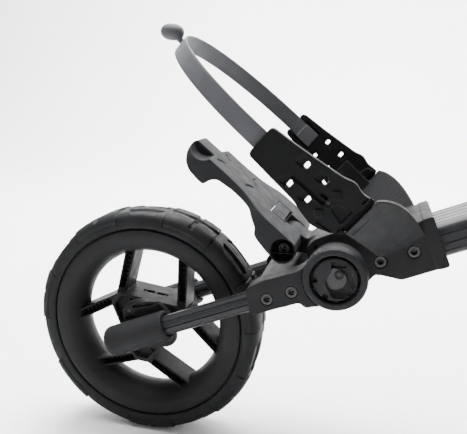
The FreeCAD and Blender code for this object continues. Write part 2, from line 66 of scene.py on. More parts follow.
MM = 0.001
SLOPE = math.radians(21.5)
AXLE = sum(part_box("axle"), Vector()) / 2
LINE = Matrix.Translation(AXLE) @ Matrix.Rotation(-SLOPE, 4, "Y") @ Matrix.Scale(MM, 4)
FINE = 0.8      # voxel size of a moulded piece, in millimetres

FORK_Y = 62.0
LINE_HEIGHT = 1.5
FOLD_X = 252.0
PIVOT_X, PIVOT_Z = 207.7, 45.6
FOOT_TILT = math.radians(62)
WING_TILT = math.radians(27)
WING_FLARE = math.radians(7.2)
WING_X, WING_Y, WING_Z = 293.8, 107.8, 57.3
WING_HEIGHT = 122.0
WING_THICK = 8.0
PAIR_ANGLE = 21.2 - 21.5
YOKE_SCREWS_X = (174.5, 203.0)
BRACKET_SCREWS = ((299.0, -2.7), (335.5, -2.7))

WING = (Matrix.Translation((WING_X, WING_Y, WING_Z)) @ Matrix.Rotation(-WING_TILT, 4, "Y")
        @ Matrix.Rotation(-WING_FLARE, 4, "X"))
FOOT = Matrix.Translation((PIVOT_X, 0, PIVOT_Z)) @ Matrix.Rotation(FOOT_TILT, 4, "Y")
MIRROR = Matrix.Scale(-1, 4, (0, 1, 0))


# Mesh helpers, in millimetres

def as_object(mesh):
    obj = bpy.data.objects.new(mesh.name, mesh)
    bpy.context.scene.collection.objects.link(obj)
    return obj


def mesh_of(verts, faces, name="shape"):
    mesh = bpy.data.meshes.new(name)
    mesh.from_pydata([tuple(v) for v in verts], [], faces)
    bm = bmesh.new()
    bm.from_mesh(mesh)
    bmesh.ops.recalc_face_normals(bm, faces=bm.faces)
    bm.to_mesh(mesh)
    bm.free()
    return as_object(mesh)


def loft(rings, closed=False):
    """A solid skin over rings of the same number of points. A closed loft joins its last ring to its first."""
    count = len(rings[0])
    verts = [v for ring in rings for v in ring]
    faces = []
    steps = len(rings) if closed else len(rings) - 1
    for k in range(steps):
        a, b = k * count, ((k + 1) % len(rings)) * count
        for i in range(count):
            j = (i + 1) % count
            faces.append((a + i, a + j, b + j, b + i))
    if not closed:
        faces.append(tuple(range(count)))
        faces.append(tuple(range(len(verts) - count, len(verts))))
    return mesh_of(verts, faces)


def prism(points, y0, y1):
    return loft([[(x, y, z) for x, z in points] for y in (y0, y1)])


def plan(points, z0, z1):
    return loft([[(x, y, z) for x, y in points] for z in (z0, z1)])


def block(x0, x1, y0, y1, z0, z1):
    return plan([(x0, y0), (x1, y0), (x1, y1), (x0, y1)], z0, z1)


def circle(cx, cz, radius, count=64, start=0.0):
    return [(cx + radius * math.cos(start + 2 * math.pi * i / count),
             cz + radius * math.sin(start + 2 * math.pi * i / count)) for i in range(count)]


def rod(x, z, radius, y0, y1, count=64):
    return prism(circle(x, z, radius, count), y0, y1)


def turned(x, z, profile, count=96):
    """A solid of revolution across the cart, from (radius, y) points of its closed section's outer line."""
    return loft([[(px, y, pz) for px, pz in circle(x, z, max(r, 0.02), count)] for r, y in profile])


def along(y, z, profile, count=64):
    """A solid of revolution about a line parallel to X, from (radius, x) points."""
    return loft([[(x, py, pz) for py, pz in circle(y, z, max(r, 0.02), count)] for r, x in profile])


def rounded(points, radius, steps=4):
    """The outline with each corner replaced by an arc-like curve."""
    out = []
    count = len(points)
    for i, point in enumerate(points):
        p = Vector(point)
        before, after = Vector(points[i - 1]) - p, Vector(points[(i + 1) % count]) - p
        reach = min(radius, before.length * 0.45, after.length * 0.45)
        a, b = p + before.normalized() * reach, p + after.normalized() * reach
        for k in range(steps + 1):
            t = k / steps
            q = a * (1 - t) ** 2 + p * 2 * t * (1 - t) + b * t * t
            out.append((q.x, q.y))
    return out


def moved(obj, matrix):
    obj.data.transform(matrix)
    if matrix.determinant() < 0:
        obj.data.flip_normals()
    return obj


def copied(obj, matrix):
    return moved(as_object(obj.data.copy()), matrix)


def pair(obj):
    return [obj, copied(obj, MIRROR)]


def turned_by(obj, degrees, x=0.0, z=0.0):
    """The shape turned about an axis across the cart, from X towards Z."""
    pivot = Matrix.Translation((x, 0, z))
    return moved(obj, pivot @ Matrix.Rotation(-math.radians(degrees), 4, "Y") @ pivot.inverted())


def applied(obj):
    """The object's mesh with its modifiers applied."""
    graph = bpy.context.evaluated_depsgraph_get()
    mesh = bpy.data.meshes.new_from_object(obj.evaluated_get(graph))
    obj.modifiers.clear()
    obj.data = mesh
    if not mesh.vertices:
        raise RuntimeError("a boolean left nothing of " + obj.name)
    return obj


def combined(adds, cuts=(), keep=None):
    """Adds joined into one solid, less the cuts, and within keep if it is given."""
    base = adds[0]
    tools = [(o, "UNION") for o in adds[1:]] + [(keep, "INTERSECT")] * (keep is not None)
    tools += [(o, "DIFFERENCE") for o in cuts]
    for tool, operation in tools:
        modifier = base.modifiers.new("part", "BOOLEAN")
        modifier.solver = "MANIFOLD"
        modifier.operation = operation
        modifier.object = tool
        tool.hide_render = True
    applied(base)
    for tool, _ in tools:
        bpy.data.objects.remove(tool)
    return base


def moulded(obj, voxel=FINE, rounds=3):
    """Rounds every edge of a solid the way a moulding's edges are round."""
    remesh = obj.modifiers.new("skin", "REMESH")
    remesh.mode = "VOXEL"
    remesh.voxel_size = voxel
    soften = obj.modifiers.new("soften", "SMOOTH")
    soften.factor = 0.5
    soften.iterations = rounds
    return applied(obj)


def place(obj, name, body, material, slot, *nodes):
    """The finished shape becomes a piece of the model, on its body and with its finish."""
    obj.data.transform(LINE)
    obj.name = name
    obj.data.name = name
    obj.data.polygons.foreach_set("use_smooth", [True] * len(obj.data.polygons))
    obj.data.materials.clear()
    obj.data.materials.append(material)
    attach(obj, body)
    if nodes:
        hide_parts(*nodes)
    return obj


def place_pair(obj, name, body, material, slot):
    """Places a right-hand piece and its mirror image. Each stands for the CAD node of its side."""
    left = copied(obj, MIRROR)
    place(obj, name + "_skin_right", body, material, slot, name + "_right")
    place(left, name + "_skin_left", body, material, slot, name + "_left")


def creased(obj, degrees=35.0):
    """Keeps the sharp edges of a piece that isn't remeshed."""
    obj.data.shade_smooth()
    obj.data.set_sharp_from_angle(angle=math.radians(degrees))
    return obj


# Materials

def new_material(name, metallic=0.0, **sockets):
    material = bpy.data.materials.new(name)
    material.use_nodes = True
    tree = material.node_tree
    shader = tree.nodes["Principled BSDF"]
    shader.inputs["Metallic"].default_value = metallic
    for socket, value in sockets.items():
        shader.inputs[socket.replace("_", " ")].default_value = value
    return material, tree, shader


def noise(tree, scale, detail=3.0, stretch=None):
    coords = tree.nodes.new("ShaderNodeTexCoord")
    texture = tree.nodes.new("ShaderNodeTexNoise")
    texture.inputs["Scale"].default_value = scale
    texture.inputs["Detail"].default_value = detail
    if stretch:
        mapping = tree.nodes.new("ShaderNodeMapping")
        mapping.inputs["Rotation"].default_value = (0, SLOPE, 0)
        mapping.inputs["Scale"].default_value = stretch
        tree.links.new(coords.outputs["Object"], mapping.inputs["Vector"])
        tree.links.new(mapping.outputs["Vector"], texture.inputs["Vector"])
    else:
        tree.links.new(coords.outputs["Object"], texture.inputs["Vector"])
    return texture.outputs["Fac"]


def ramp(tree, factor, low, high, start=0.35, end=0.65):
    node = tree.nodes.new("ShaderNodeValToRGB")
    node.color_ramp.elements[0].position = start
    node.color_ramp.elements[1].position = end
    node.color_ramp.elements[0].color = (*low, 1)
    node.color_ramp.elements[1].color = (*high, 1)
    tree.links.new(factor, node.inputs["Fac"])
    return node.outputs["Color"]


def bump(tree, shader, height, distance, strength=1.0, under=None):
    node = tree.nodes.new("ShaderNodeBump")
    node.inputs["Distance"].default_value = distance
    node.inputs["Strength"].default_value = strength
    tree.links.new(height, node.inputs["Height"])
    if under:
        tree.links.new(under, node.inputs["Normal"])
    tree.links.new(node.outputs["Normal"], shader.inputs["Normal"])
    return node.outputs["Normal"]


def shade(colour, factor):
    return tuple(c * factor for c in colour)


def moulded_plastic(name, colour, roughness, grain=1500.0, depth=0.00006):
    """Spark-eroded moulded plastic: a fine grain, faint flow marks and slightly uneven gloss."""
    material, tree, shader = new_material(name, Specular_IOR_Level=0.05)
    flow = noise(tree, 14.0, 4.0)
    tree.links.new(ramp(tree, flow, shade(colour, 0.9), shade(colour, 1.1)), shader.inputs["Base Color"])
    gloss = noise(tree, 90.0, 3.0)
    low, high = (roughness - 0.06,) * 3, (roughness + 0.07,) * 3
    tree.links.new(ramp(tree, gloss, low, high), shader.inputs["Roughness"])
    coarse = bump(tree, shader, noise(tree, grain / 4, 2.0), depth * 1.2, 0.5)
    bump(tree, shader, noise(tree, grain, 2.0), depth, 0.7, coarse)
    return material


def tyre_rubber():
    material, tree, shader = new_material("tyre_rubber", Specular_IOR_Level=0.12)
    dust = noise(tree, 30.0, 6.0)
    grey = ramp(tree, dust, (0.0075, 0.0078, 0.0084), (0.0110, 0.0113, 0.0120))
    tree.links.new(grey, shader.inputs["Base Color"])
    tree.links.new(ramp(tree, noise(tree, 120.0), (0.58,) * 3, (0.74,) * 3), shader.inputs["Roughness"])
    coarse = bump(tree, shader, noise(tree, 420.0, 3.0), 0.00012, 0.5)
    bump(tree, shader, noise(tree, 1800.0, 2.0), 0.00005, 0.6, coarse)
    return material


def silicone():
    material, tree, shader = new_material("strap_silicone", Specular_IOR_Level=0.2, Sheen_Weight=0.03)
    cloud = noise(tree, 22.0, 4.0)
    tree.links.new(ramp(tree, cloud, (0.056, 0.057, 0.062), (0.068, 0.069, 0.075)), shader.inputs["Base Color"])
    tree.links.new(ramp(tree, noise(tree, 70.0), (0.52,) * 3, (0.66,) * 3), shader.inputs["Roughness"])
    bump(tree, shader, noise(tree, 1300.0, 2.0), 0.00005, 0.5)
    return material


def anodised():
    """Bead-blasted black anodised aluminium with the draw lines of its extrusion."""
    material, tree, shader = new_material("anodised_aluminium", Specular_IOR_Level=0.12)
    lines = noise(tree, 60.0, 4.0, stretch=(0.6, 22.0, 22.0))
    grey = ramp(tree, lines, (0.014, 0.0144, 0.0158), (0.024, 0.0245, 0.0265))
    tree.links.new(grey, shader.inputs["Base Color"])
    tree.links.new(ramp(tree, lines, (0.28,) * 3, (0.42,) * 3), shader.inputs["Roughness"])
    bump(tree, shader, lines, 0.00004, 0.35)
    return material


def bare_steel(name, colour, roughness, metallic=0.9):
    material, tree, shader = new_material(name, metallic)
    marks = noise(tree, 500.0, 5.0)
    tree.links.new(ramp(tree, marks, shade(colour, 0.85), shade(colour, 1.1)), shader.inputs["Base Color"])
    low, high = (roughness - 0.06,) * 3, (roughness + 0.08,) * 3
    tree.links.new(ramp(tree, marks, low, high), shader.inputs["Roughness"])
    bump(tree, shader, noise(tree, 2200.0, 2.0), 0.00002, 0.4)
    return material


CHARCOAL = (0.0150, 0.0152, 0.0160)
PLASTIC = moulded_plastic("charcoal_plastic", CHARCOAL, 0.56)
# The wings are the same black plastic as the bracket; this copy is painted darker, at half the charcoal colour,
# as painted shade on the wings.
SHADED_WING_PLASTIC = moulded_plastic("wing_plastic_painted_shade", (0.0075, 0.0077, 0.0083), 0.58)
WHEEL_PLASTIC = moulded_plastic("wheel_plastic", (0.0150, 0.0152, 0.0160), 0.50)
CAP_PLASTIC = moulded_plastic("cap_plastic", (0.0200, 0.0203, 0.0215), 0.48)
FOOT_PLASTIC = moulded_plastic("foot_plastic", (0.0170, 0.0173, 0.0185), 0.56)
BUSH_PLASTIC = moulded_plastic("bush_plastic", (0.03, 0.03, 0.032), 0.4)
RUBBER = tyre_rubber()
SILICONE = silicone()
ALUMINIUM = anodised()
BLACK_SCREW = bare_steel("black_oxide_steel", (0.004, 0.004, 0.0045), 0.5, metallic=0.0)
STEEL = bare_steel("zinc_steel", (0.42, 0.42, 0.43), 0.34)


# Wheel

TYRE_R = 145.0
PITCHES = 14
PITCH = 2 * math.pi / PITCHES
FIRST_SPLIT = math.radians(104 - 21.5)
NOTCH_START, NOTCH_END = 0.10, 0.80     # where in its pitch a low block is notched


def step_edge(value, edge, width):
    """0 below the edge and 1 above it, smooth over the width."""
    t = np.clip((value - edge) / width + 0.5, 0, 1)
    return t * t * (3 - 2 * t)


def inside(value, low, high, width):
    return step_edge(value, low, width) * (1 - step_edge(value, high, width))


def tread_height(theta, w):
    """How far the tread stands out of the carcass, over the angle and the distance from the crown's middle."""
    turns = (theta - FIRST_SPLIT) / PITCH
    cell = np.floor(turns)
    p = turns - cell
    tall = 1 - np.mod(cell, 2)
    side = np.abs(w)
    pitch_arc = TYRE_R * PITCH
    arc = p * pitch_arc
    height = 1.6 * tall * inside(side, -1, 34, 3.0) * inside(p, 0.01, 0.99, 0.015)
    split = 1 - inside(arc, 0.45, pitch_arc - 0.45, 0.6)
    height -= 1.2 * split * inside(side, 9, 39, 2.0)
    slant = np.clip(np.minimum(p - NOTCH_START, NOTCH_END - p) / 0.12, 0, 1)
    shoulder = step_edge(side, 7, 0.9) * (1 - step_edge(side, 12 + 13 * slant, 0.8))
    height -= 2.8 * shoulder * inside(p, NOTCH_START, NOTCH_END, 0.02) * (1 - tall)
    zigzag = 3.2 * np.abs(2 * np.mod(2 * p, 1) - 1)
    height -= 2.4 * inside(side, -1, 2.2 + zigzag, 0.9) * tall
    height -= 2.2 * inside(p, 0.42, 0.50, 0.02) * inside(side, 6, 27, 1.2) * tall
    return height


def tyre():
    """The tyre's outer skin, from bead to bead, with its tread, and a plain inner skin under the rim."""
    around = 1680
    section = [(122.9, -24.0), (123.3, -27.6), (126.6, -28.9), (133, -28.6), (138, -26.8), (141.0, -23.6),
               (142.6, -19), (143.2, -12), (143.3, 0)]
    half = bezier_chain(section, 14)
    outer = half + [(r, -y) for r, y in reversed(half[:-1])]
    points = np.array(outer)
    lengths = np.concatenate([[0], np.cumsum(np.linalg.norm(np.diff(points, axis=0), axis=1))])
    w = lengths - lengths[-1] / 2
    tangent = np.gradient(points, axis=0)
    normal = np.stack([tangent[:, 1], -tangent[:, 0]], 1)
    normal /= np.linalg.norm(normal, axis=1)[:, None]
    theta = np.linspace(0, 2 * math.pi, around, endpoint=False)
    grid_theta, grid_w = np.meshgrid(theta, w, indexing="ij")
    height = tread_height(grid_theta, grid_w)
    r = points[:, 0] + height * normal[:, 0]
    y = points[:, 1] + height * normal[:, 1]
    inner = np.array([(122.6, 24), (104, 19), (98, 0), (104, -19), (122.6, -24)])
    r = np.hstack([r, np.tile(inner[:, 0], (around, 1))])
    y = np.hstack([y, np.tile(inner[:, 1], (around, 1))])
    columns = r.shape[1]
    angle = np.repeat(theta[:, None], columns, 1)
    verts = np.stack([r * np.cos(angle), y, r * np.sin(angle)], 2).reshape(-1, 3)
    i = np.arange(around)[:, None]
    j = np.arange(columns)[None, :]
    a = i * columns + j
    b = i * columns + (j + 1) % columns
    c = ((i + 1) % around) * columns + (j + 1) % columns
    d = ((i + 1) % around) * columns + j
    faces = np.stack([a, d, c, b], 2).reshape(-1, 4)
    return mesh_of(verts.tolist(), faces.tolist(), "tyre")


def bezier_chain(points, steps):
    """A smooth line through the points (a centripetal curve), with the given steps between each two."""
    out = []
    p = [Vector(q) for q in points]
    p = [p[0] * 2 - p[1]] + p + [p[-1] * 2 - p[-2]]
    for k in range(1, len(p) - 2):
        for s in range(steps):
            t = s / steps
            a, b, c, d = p[k - 1], p[k], p[k + 1], p[k + 2]
            q = 0.5 * ((2 * b) + (c - a) * t + (2 * a - 5 * b + 4 * c - d) * t * t
                       + (3 * b - a - 3 * c + d) * t ** 3)
            out.append((q.x, q.y))
    out.append(tuple(p[-2]))
    return out


def rim_ring():
    """The bowed ring that carries the tyre, smooth from the bead groove to the throat."""
    half = [(121.0, -24.0), (120.6, -27.8), (117.4, -28.9), (111, -28.6), (104, -26.6), (98, -21.6),
            (93.4, -14.6), (90.6, -7), (89.6, 0)]
    line = bezier_chain(half, 8)
    profile = line + [(r, -y) for r, y in reversed(line[:-1])] + [(104, 19), (98, 0), (104, -19)]
    rings = []
    for k in range(192):
        angle = 2 * math.pi * k / 192
        rings.append([(r * math.cos(angle), y, r * math.sin(angle)) for r, y in profile])
    return loft(rings, closed=True)


def spoke_frame(middle, side):
    """Start, direction and length of one spoke's middle line."""
    start, end = math.radians(middle + side * 10), math.radians(middle + side * 40)
    a = Vector((52 * math.cos(start), 0, 52 * math.sin(start)))
    b = Vector((99 * math.cos(end), 0, 99 * math.sin(end)))
    return a, (b - a).normalized(), (b - a).length


def beam(middle, side, half_thick, y0, y1, begin, finish, taper=0.0):
    a, u, length = spoke_frame(middle, side)
    p = Vector((-u.z, 0, u.x))
    ring = []
    for along_it, across in ((begin, -1), (length + finish, -1), (length + finish, 1), (begin, 1)):
        width = half_thick + (taper if along_it > length / 2 else 0.0)
        q = a + u * along_it + p * across * width
        ring.append((q.x, q.z))
    return prism(ring, y0, y1)


def hub_corners(radius):
    angles = [math.radians(PAIR_ANGLE + 120 * k + s) for k in range(3) for s in (-10, 10)]
    return [(radius * math.cos(a), radius * math.sin(a)) for a in angles]


def wheel_centre():
    adds = [prism(rounded(hub_corners(52), 4), -26, 26), rod(0, 0, 19, -29, 29)]
    cuts = [rod(0, 0, 14, 20, 40), rod(0, 0, 14, -40, -20), rod(0, 0, 10, -40, 40)]
    for y0, y1 in ((19, 27), (-27, -19)):
        pocket = prism(rounded(hub_corners(46.5), 3), y0, y1)
        keep_ring = rod(0, 0, 19, y0 - 1, y1 + 1)
        cuts.append(combined([pocket], [keep_ring]))
    for k in range(3):
        middle = PAIR_ANGLE + 120 * k
        for side in (-1, 1):
            adds.append(beam(middle, side, 5.6, -17, 17, -6, 2, taper=0.8))
            for y0, y1 in ((-18, -5), (5, 18)):
                cuts.append(beam(middle, side, 3.6, y0, y1, 3, -4, taper=0.6))
        flat = block(-16.6, -1.6, -2.6, 2.6, 29.5, 40)
        for slot in (flat, copied(flat, Matrix.Translation((18.2, 0, 0)))):
            cuts.append(turned_by(slot, middle - 30))
    hub = combined(adds, cuts)
    ribs = []
    for k in range(3):
        middle = PAIR_ANGLE + 120 * k
        for side in (-1, 1):
            a, u, length = spoke_frame(middle, side)
            for at in range(9, int(length) - 4, 6):
                p = a + u * at
                rib = block(-0.6, 0.6, -8, 8, -4.4, 4.4)
                turn = Matrix.Rotation(-math.atan2(u.z, u.x), 4, "Y")
                ribs.append(moved(rib, Matrix.Translation((p.x, 0, p.z)) @ turn))
        for at in (-26, -13, 0, 13, 26):
            web = block(at - 0.9, at + 0.9, -21, 21, 18, 32.6)
            ribs.append(turned_by(web, middle - 30))
    return moulded(combined([hub] + ribs))


place(tyre(), "tyre_skin", "wheel", RUBBER, "tyre", "tyre")
place(rim_ring(), "rim_ring", "wheel", WHEEL_PLASTIC, "wheel_plastic", "wheel_rim")
place(wheel_centre(), "spokes_and_hub", "wheel", WHEEL_PLASTIC, "wheel_plastic")


# Fork

def fluted_tube():
    """The fork's extruded tube: broad lands between narrow flutes."""
    flutes = 10
    count = flutes * 16
    rings = []
    for x in np.linspace(9, 212, 9):
        ring = []
        for i in range(count):
            angle = 2 * math.pi * i / count
            phase = abs(((i / 16) % 1) - 0.5) * 2
            depth = 1.25 * max(0.0, (phase - 0.68) / 0.32) ** 1.5
            r = 11.6 - depth
            ring.append((x, FORK_Y + r * math.cos(angle), LINE_HEIGHT + r * math.sin(angle)))
        rings.append(ring)
    return creased(loft(rings), 50)


def axle_socket(latched):
    """A fork end. The latched one's plate rises above the barrel, to carry the axle latch."""
    barrel = along(FORK_Y, LINE_HEIGHT, [(9, -35), (12.5, -34.2), (15.6, -32.2), (17.4, -29.4), (18, -26),
                                         (18, 42.5), (17.6, 44.6), (16.6, 46)])
    low = [(45, -14), (40, -26), (31, -29), (0, -24), (-12, -12)]
    high = [(-13, 16), (-10, 31), (1, 38), (16, 36.5), (38, 28), (46, 10)] if latched else \
        [(-13, 8), (-6, 16), (38, 16), (46, 10)]
    plate = prism(rounded(high + low, 6), 40, 48)
    cuts = [
        along(FORK_Y, LINE_HEIGHT, [(11.6, 9), (11.6, 70)]),
        along(FORK_Y, LINE_HEIGHT, [(11.6, 39), (14.2, 46.2), (14.2, 50)]),
        rod(0, 0, 6, 39, 50),
    ]
    if latched:
        cuts += [rod(-0.6, 29.1, 2.4, 39, 49), block(-9.5, 3, 45, 50, 18.6, 21.4)]
    return moulded(combined([barrel, plate], cuts), FINE * 0.8)


LATCH_OUTLINE = [(-6, 29), (-4.6, 33), (-0.6, 34.6), (14, 36), (30, 32.2), (38, 29.5), (40.4, 27.5),
                 (38.5, 24.5), (30, 24.6), (14, 27), (4, 24.4), (-0.6, 23.7), (-5, 25.6)]
LATCH_WINDOW = [(7, 33.4), (14, 33.2), (30, 29.8), (36, 27.9), (30, 27.0), (14, 29.6), (7, 30.2)]


def axle_latch():
    """The looped lever that turns on a pin in the left socket's raised plate."""
    outer = prism(rounded(LATCH_OUTLINE, 3), 48.3, 51.6)
    window = prism(rounded(LATCH_WINDOW, 1.2), 48, 52)
    return moulded(combined([outer], [window, rod(-0.6, 29.1, 2.6, 48, 52)]), FINE * 0.55, 2)


ARM = [(149.5, -11), (155, 17.5), (160, 20), (178, 22.5), (218, 21), (240, 30), (262, 20), (258, -14),
       (232, -24), (222, -21), (211, -20), (207.5, -12.5)]


def fork_yoke():
    adds = pair(prism(rounded(ARM, 4), 48, 76))
    adds += pair(rod(FOLD_X, LINE_HEIGHT, 33, 48, 68))
    adds.append(prism(rounded([(163, -9), (163, 17), (176, 20.5), (207, 19.5), (209, -9)], 3), -49, 49))
    cuts = [rod(FOLD_X, LINE_HEIGHT, 10, -90, 90)]
    cuts += pair(rod(FOLD_X, LINE_HEIGHT, 34.6, 68, 90))
    for side in (-1, 1):
        cuts.append(along(side * FORK_Y, LINE_HEIGHT, [(11.6, 142), (11.6, 212)]))
    for y0, y1 in ((-42, -4), (4, 42)):
        cuts.append(block(169, 202, y0, y1, -12, 13.5))
    for x in YOKE_SCREWS_X:
        cuts += pair(turned(x, LINE_HEIGHT, [(6.5, 73), (6.5, 74.6), (8.2, 77)]))
        cuts += pair(rod(x, LINE_HEIGHT, 4.8, 50, 78))
    return moulded(combined(adds, cuts))


def joint_ring():
    profile = [(33.6, 68.2), (34.5, 69), (34.5, 71.4), (33.5, 71.8), (33.5, 72.6), (34.3, 73), (34.3, 75.4),
               (33.3, 75.8), (33.3, 76.5), (33.9, 76.9), (33.4, 78.6), (32, 79.8), (30.6, 80), (27.4, 80),
               (26.6, 79.2), (26.4, 69.8), (12, 69.8), (12, 68.2)]
    rings = []
    for k in range(160):
        angle = 2 * math.pi * k / 160
        rings.append([(FOLD_X + r * math.cos(angle), y, LINE_HEIGHT + r * math.sin(angle)) for r, y in profile])
    ring = loft(rings, closed=True)
    teeth = []
    for angle in range(100, 190, 9):
        tooth = block(FOLD_X + 31.4, FOLD_X + 34.6, 69, 77.6, LINE_HEIGHT - 1.3, LINE_HEIGHT + 1.3)
        teeth.append(turned_by(tooth, angle, FOLD_X, LINE_HEIGHT))
    return moulded(combined([ring] + teeth), FINE * 0.7)


def arc_band(inner, outer, start, end, y0, y1):
    """A curved bar about the fold joint, between two directions in degrees."""
    angles = [math.radians(start + (end - start) * k / 16) for k in range(17)]
    points = [(FOLD_X + outer * math.cos(a), LINE_HEIGHT + outer * math.sin(a)) for a in angles]
    points += [(FOLD_X + inner * math.cos(a), LINE_HEIGHT + inner * math.sin(a)) for a in reversed(angles)]
    return prism(points, y0, y1)


def joint_cap():
    """The twist-in cap: a disc with bayonet notches round a deep scooped recess with a splined drive."""
    body = turned(FOLD_X, LINE_HEIGHT, [(23.4, 69.9), (23.8, 70.4), (23.8, 76.2), (23.2, 77.2), (21.8, 77.8),
                                        (12, 78.2)], 128)
    upright = -math.degrees(SLOPE)
    bowl = []
    for k in range(11):
        depth = k / 10
        grow = 0.5 + 0.5 * math.sqrt(1 - (1 - depth) ** 2.4)
        ring = []
        for x, z in circle(0, 0, 1, 72):
            wave = 1 + 0.05 * math.cos(6 * math.atan2(z, x))
            ring.append((FOLD_X + 6 + 15 * x * grow * wave, 70.8 + 8.5 * depth,
                         LINE_HEIGHT - 2.5 + 18.5 * z * grow * wave))
        bowl.append(ring)
    cuts = [loft(bowl)]
    cuts.append(block(FOLD_X - 4.5, FOLD_X + 11.5, 70.8, 82, LINE_HEIGHT + 12.5, LINE_HEIGHT + 20))
    for angle in (176, 236, 312):
        cuts.append(arc_band(18.6, 27, angle, angle + 16, 72, 82))
    shape = combined([body], [turned_by(c, upright, FOLD_X, LINE_HEIGHT) for c in cuts])
    adds = []
    for angle in (205, 270, 335, 20):
        adds.append(arc_band(22, 25.6, angle, angle + 9, 73, 75.6))
    drive = [turned_by(block(FOLD_X - 5, FOLD_X + 5, 70.2, 75.4, LINE_HEIGHT - 1.7, LINE_HEIGHT + 1.7), k * 45,
                       FOLD_X, LINE_HEIGHT) for k in range(4)]
    drive = combined(drive, [rod(FOLD_X, LINE_HEIGHT, 2.4, 72, 80)])
    adds.append(moved(drive, Matrix.Translation((4, 0, 4.5))))
    return moulded(combined([shape] + [turned_by(a, upright, FOLD_X, LINE_HEIGHT) for a in adds]), FINE * 0.55, 2)


place_pair(fluted_tube(), "fork_tube", "fork", ALUMINIUM, "anodised_tube")
place(axle_socket(False), "axle_socket_skin_right", "fork", PLASTIC, "black_plastic", "axle_socket_right")
place(moved(axle_socket(True), MIRROR), "axle_socket_skin_left", "fork", PLASTIC, "black_plastic",
      "axle_socket_left")
place(moved(axle_latch(), MIRROR), "axle_latch_skin", "latch", PLASTIC, "black_plastic", "axle_latch")
place(fork_yoke(), "fork_yoke_skin", "fork", PLASTIC, "black_plastic", "fork_yoke")
place_pair(joint_ring(), "joint_ring", "fork", CAP_PLASTIC, "cap_plastic")
place_pair(joint_cap(), "joint_cap", "fork", CAP_PLASTIC, "cap_plastic")


# Lower bag bracket and frame tube

def wing_point(a, y, h):
    return WING @ Vector((a, y, h))


def bag_web():
    """The flared cheek from the collar to the wing's foot, as one curved wall."""
    steps = 14
    rings = []
    foot = [wing_point(-13, -0.6, 0), wing_point(31, -0.6, 0), wing_point(31, -WING_THICK, 0),
            wing_point(-13, -WING_THICK, 0)]
    root = [Vector((300, 44, 0)), Vector((352, 44, 10)), Vector((350, 37, 16)), Vector((296, 37, 8))]
    swell = Vector((0.895, 0, 0.446))
    for k in range(steps + 1):
        t = k / steps
        bow = Vector((0, -3.0 * math.sin(math.pi * t), 0))
        bulge = swell * 9.0 * math.sin(math.pi * t ** 0.75)
        rings.append([tuple(a.lerp(b, t) + bow + bulge * rear) for a, b, rear in zip(foot, root, (0, 1, 1, 0))])
    return loft(rings)


def bracket_body():
    core = rounded([(276, -22), (290, -14.5), (301, -21), (314, -29), (365, -28), (365, 27), (340, 27),
                    (300, 34), (262, 43), (240, 42), (228, 36), (226, 22), (252, 1.5)], 4)
    tongue = rounded([(PIVOT_X - 2, 31.8), (222, 24), (240, 24), (240, 42), (228, 40), (PIVOT_X + 8, 57)], 3)
    adds = [
        prism(core, -45, 45),
        rod(FOLD_X, LINE_HEIGHT, 32.5, -47.6, 47.6),
        rod(PIVOT_X, PIVOT_Z, 13.8, -20, 20),
        prism(tongue, -20, 20),
        prism(rounded([(353, -29), (365.4, -29), (365.4, 28), (353, 28)], 3), -45.8, 45.8),
    ]
    adds += pair(bag_web())
    tab = moved(block(-11, 13, -WING_THICK - 4, -WING_THICK, -10, 38), WING)
    adds += pair(tab)
    cuts = [
        block(290, 370, -40.2, 40.2, -20.9, 15.5),
        rod(FOLD_X, LINE_HEIGHT, 13, -60, -20),
        rod(FOLD_X, LINE_HEIGHT, 13, 20, 60),
        rod(FOLD_X, LINE_HEIGHT, 11, -21, 21),
        rod(PIVOT_X, PIVOT_Z, 5, -30, 30),
    ]
    cuts += pair(prism([(238, 29), (243, 30), (241.6, 36), (236.6, 35)], 43.4, 50))
    cuts += pair(prism([(234, 21), (239, 22), (237.6, 28), (233, 27)], 43.4, 50))
    for x, z in BRACKET_SCREWS:
        cuts += pair(turned(x, z, [(6.5, 41), (6.5, 43.4), (8.4, 46)]))
        cuts += pair(rod(x, z, 4.8, 30, 50))
    return moulded(combined(adds, cuts), FINE * 1.1)


def tube_outline(x, inset=0.0):
    """The frame tube's section: flat faces with rounded corners, long grooves and raised ribs."""
    y0, z0, z1 = 40.0 - inset, -20.7 + inset, 15.3 - inset
    corners = rounded([(y0, z0), (y0, z1), (-y0, z1), (-y0, z0)], 11, 6)
    return [(x, y, z) for y, z in corners]


def main_tube():
    start, end = 290.0, 450.0
    adds = [loft([tube_outline(start), tube_outline(end)])]
    cuts = [loft([tube_outline(start - 1, 2.4), tube_outline(end + 1, 2.4)])]
    for y in (-26, -13, 0, 13, 26):
        for z in (15.3, -20.7):
            cuts.append(block(start - 1, end + 1, y - 1.1, y + 1.1, z - 1.0, z + 1.0))
    for side in (-1, 1):
        y = side * 40.0
        for z in (-12.5, -4.5, 5.5):
            cuts.append(block(start - 1, end + 1, y - 1.2, y + 1.2, z - 1.0, z + 1.0))
    for x, z in BRACKET_SCREWS + ((432.0, -2.7),):
        cuts.append(rod(x, z, 4.2, -60, 60))
    return creased(combined(adds, cuts), 40)


place(bracket_body(), "bracket_skin", "frame", PLASTIC, "black_plastic", "bracket_body")
place(main_tube(), "main_tube_skin", "frame", ALUMINIUM, "anodised_tube", "main_tube")


# Wings and strap

